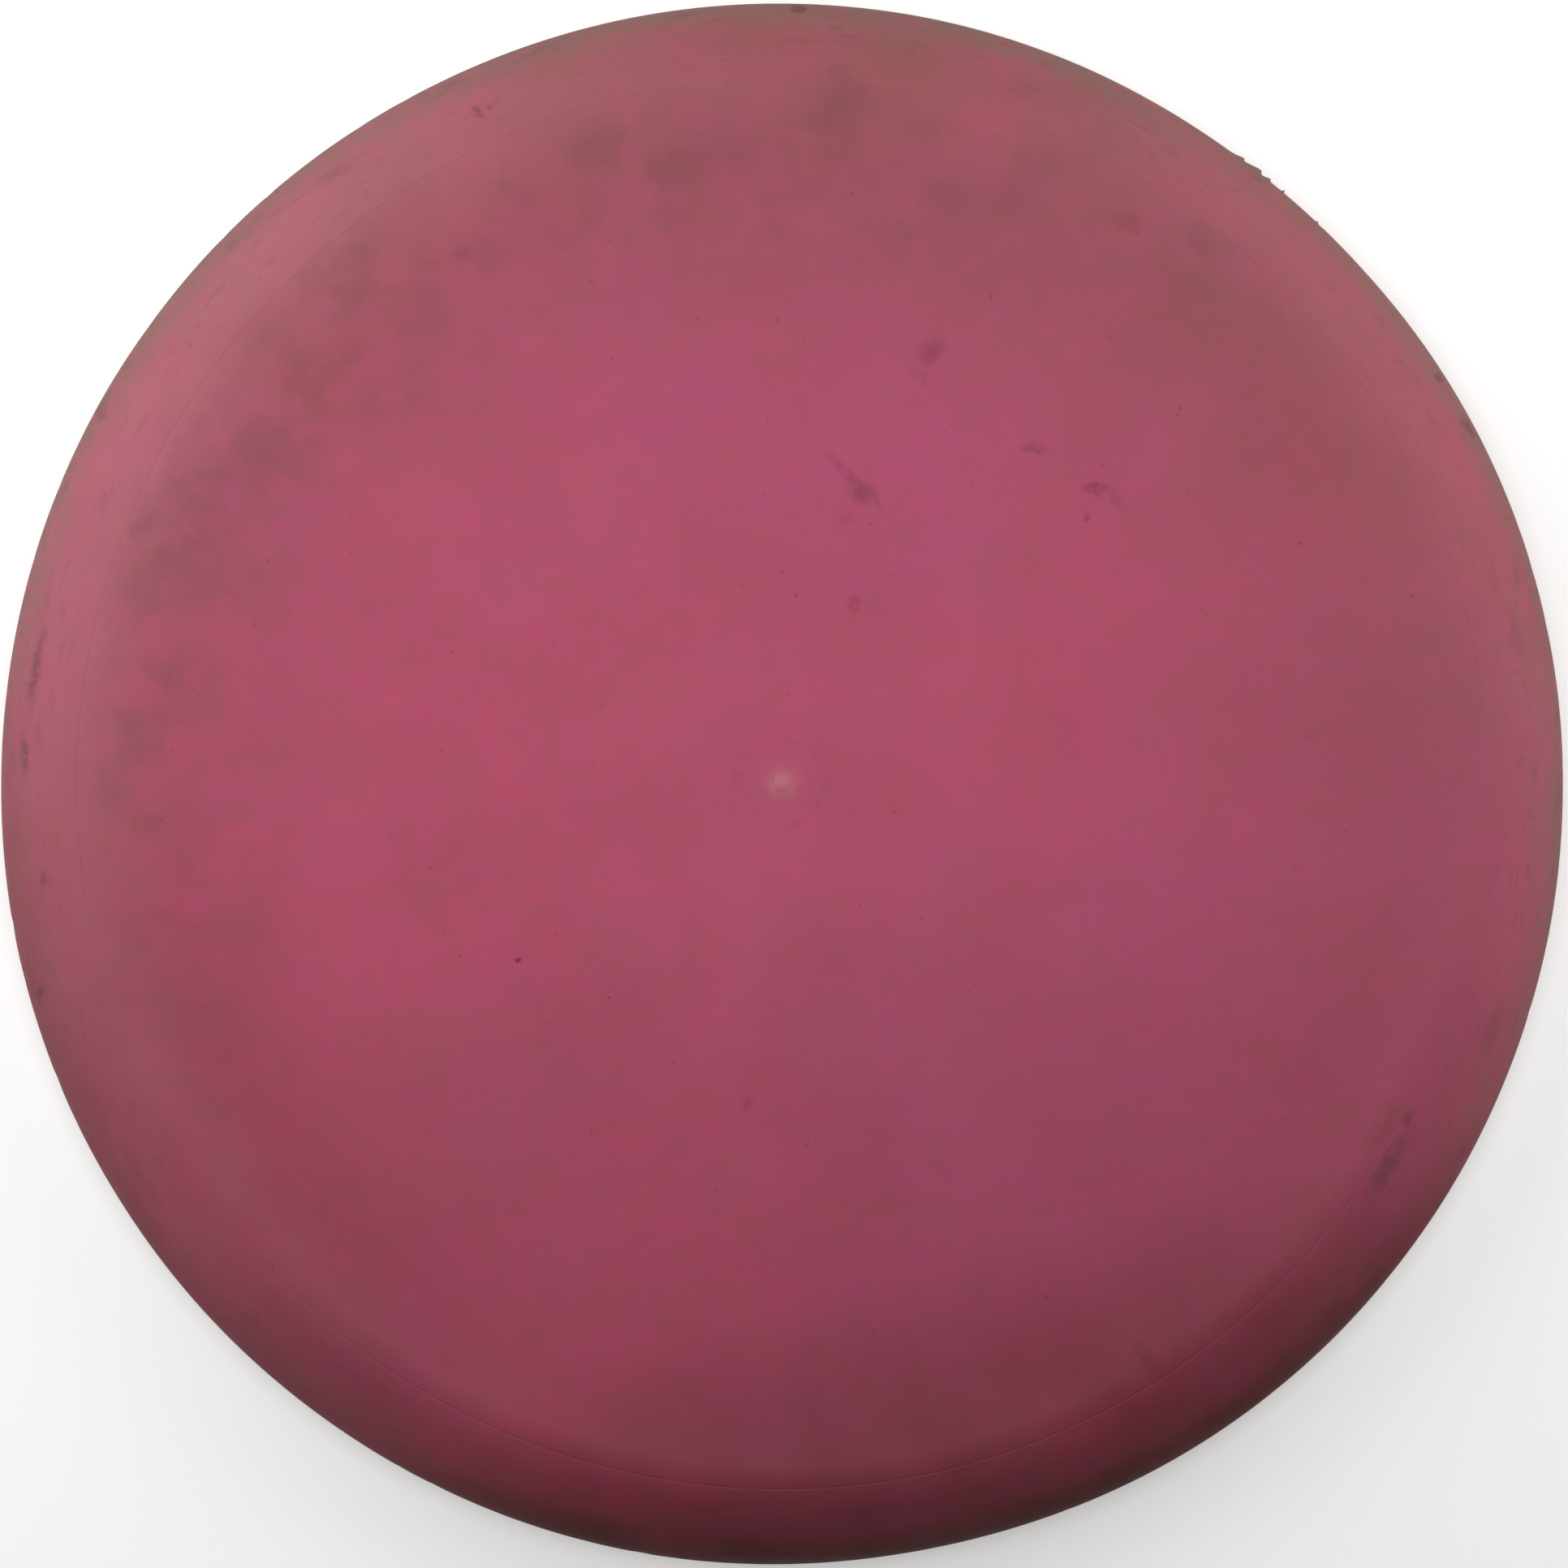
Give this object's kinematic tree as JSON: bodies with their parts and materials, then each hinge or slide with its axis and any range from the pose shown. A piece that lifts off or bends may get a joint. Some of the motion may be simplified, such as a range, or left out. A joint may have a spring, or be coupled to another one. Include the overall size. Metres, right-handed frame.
{
  "type": "flying disc",
  "caption": "Round overmoulded flying disc for throwing and catching, with a domed flight plate and a heavy rounded rim.",
  "frame": {"origin": "on the disc's axis, in the level surface that the rim's foot rests on", "axes": "+Z along the disc's axis, up out of the top of the flight plate; X and Y are any two square radii"},
  "size_m": [0.212, 0.212, 0.0209],
  "materials": {
    "plate_plastic": "used satin polymer, lightly scuffed",
    "rim_plastic": "used matte polymer, scuffed and soiled at the nose"
  },
  "bodies": {
    "root": {"flight_plate": "plate_plastic", "rim": "rim_plastic"}
  },
  "joints": []
}
